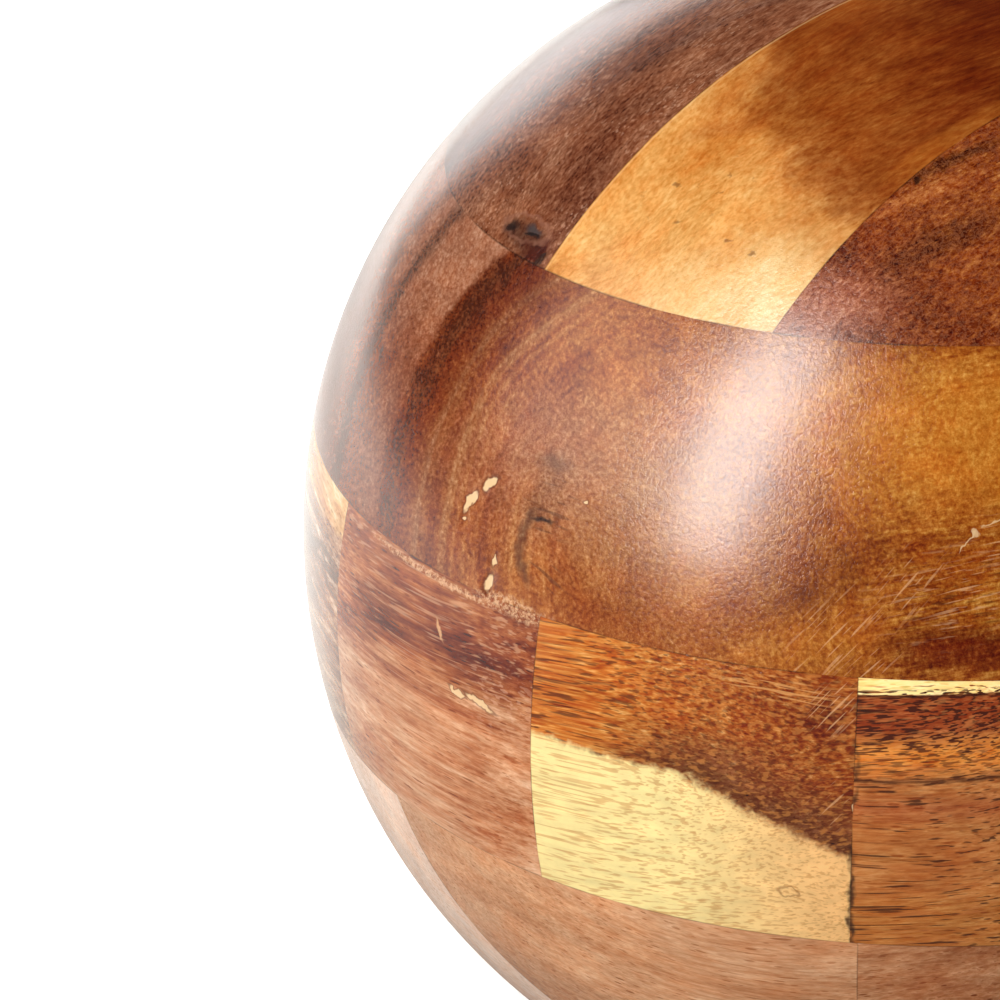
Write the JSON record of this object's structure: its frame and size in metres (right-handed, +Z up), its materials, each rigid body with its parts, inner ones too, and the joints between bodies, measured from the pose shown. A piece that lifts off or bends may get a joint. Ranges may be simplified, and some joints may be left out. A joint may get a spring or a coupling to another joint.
{
  "type": "wooden ball",
  "caption": "Solid wooden ball turned from glued blocks of contrasting wood in level courses, with a ring of wedges round its middle and a satin clear finish.",
  "frame": {"origin": "the ball's centre", "axes": "+Z up, square to the level glue faces; -Y is the side that the picture's viewer faces, and +X is its right"},
  "size_m": [0.1, 0.1, 0.1],
  "materials": {
    "top_left_wood": "dark heartwood with a small knot, satin clear coat",
    "top_middle_wood": "golden sapwood with brown clouds, satin clear coat",
    "top_right_wood": "dark heartwood, coarse end grain, satin clear coat",
    "upper_wood": "mid brown heartwood with dark growth rings, satin clear coat",
    "wedge_01_wood": "brown heartwood with a pale strip along its upper edge, satin clear coat",
    "wedge_02_wood": "dark heartwood, satin clear coat",
    "wedge_03_wood": "light brown heartwood, satin clear coat",
    "wedge_04_wood": "mid brown heartwood, satin clear coat",
    "wedge_05_wood": "pale sapwood and brown heartwood, satin clear coat",
    "wedge_06_wood": "dark heartwood, satin clear coat",
    "wedge_07_wood": "mid brown heartwood, satin clear coat",
    "wedge_08_wood": "light brown heartwood, satin clear coat",
    "wedge_09_wood": "dark heartwood, satin clear coat",
    "wedge_10_wood": "light tan wood with grey streaks, satin clear coat",
    "wedge_11_wood": "reddish brown heartwood, satin clear coat",
    "wedge_12_wood": "orange brown heartwood over pale sapwood, satin clear coat",
    "lower_left_wood": "mid brown heartwood, satin clear coat",
    "lower_right_wood": "reddish brown heartwood, satin clear coat",
    "lower_rear_wood": "light tan wood, satin clear coat",
    "bottom_wood": "mid brown heartwood, satin clear coat"
  },
  "bodies": {
    "root": {"top_left_board": "top_left_wood", "top_middle_board": "top_middle_wood", "top_right_board": "top_right_wood", "upper_board": "upper_wood", "ring_wedge_01": "wedge_01_wood", "ring_wedge_02": "wedge_02_wood", "ring_wedge_03": "wedge_03_wood", "ring_wedge_04": "wedge_04_wood", "ring_wedge_05": "wedge_05_wood", "ring_wedge_06": "wedge_06_wood", "ring_wedge_07": "wedge_07_wood", "ring_wedge_08": "wedge_08_wood", "ring_wedge_09": "wedge_09_wood", "ring_wedge_10": "wedge_10_wood", "ring_wedge_11": "wedge_11_wood", "ring_wedge_12": "wedge_12_wood", "lower_left_board": "lower_left_wood", "lower_right_board": "lower_right_wood", "lower_rear_board": "lower_rear_wood", "bottom_board": "bottom_wood"}
  },
  "joints": []
}
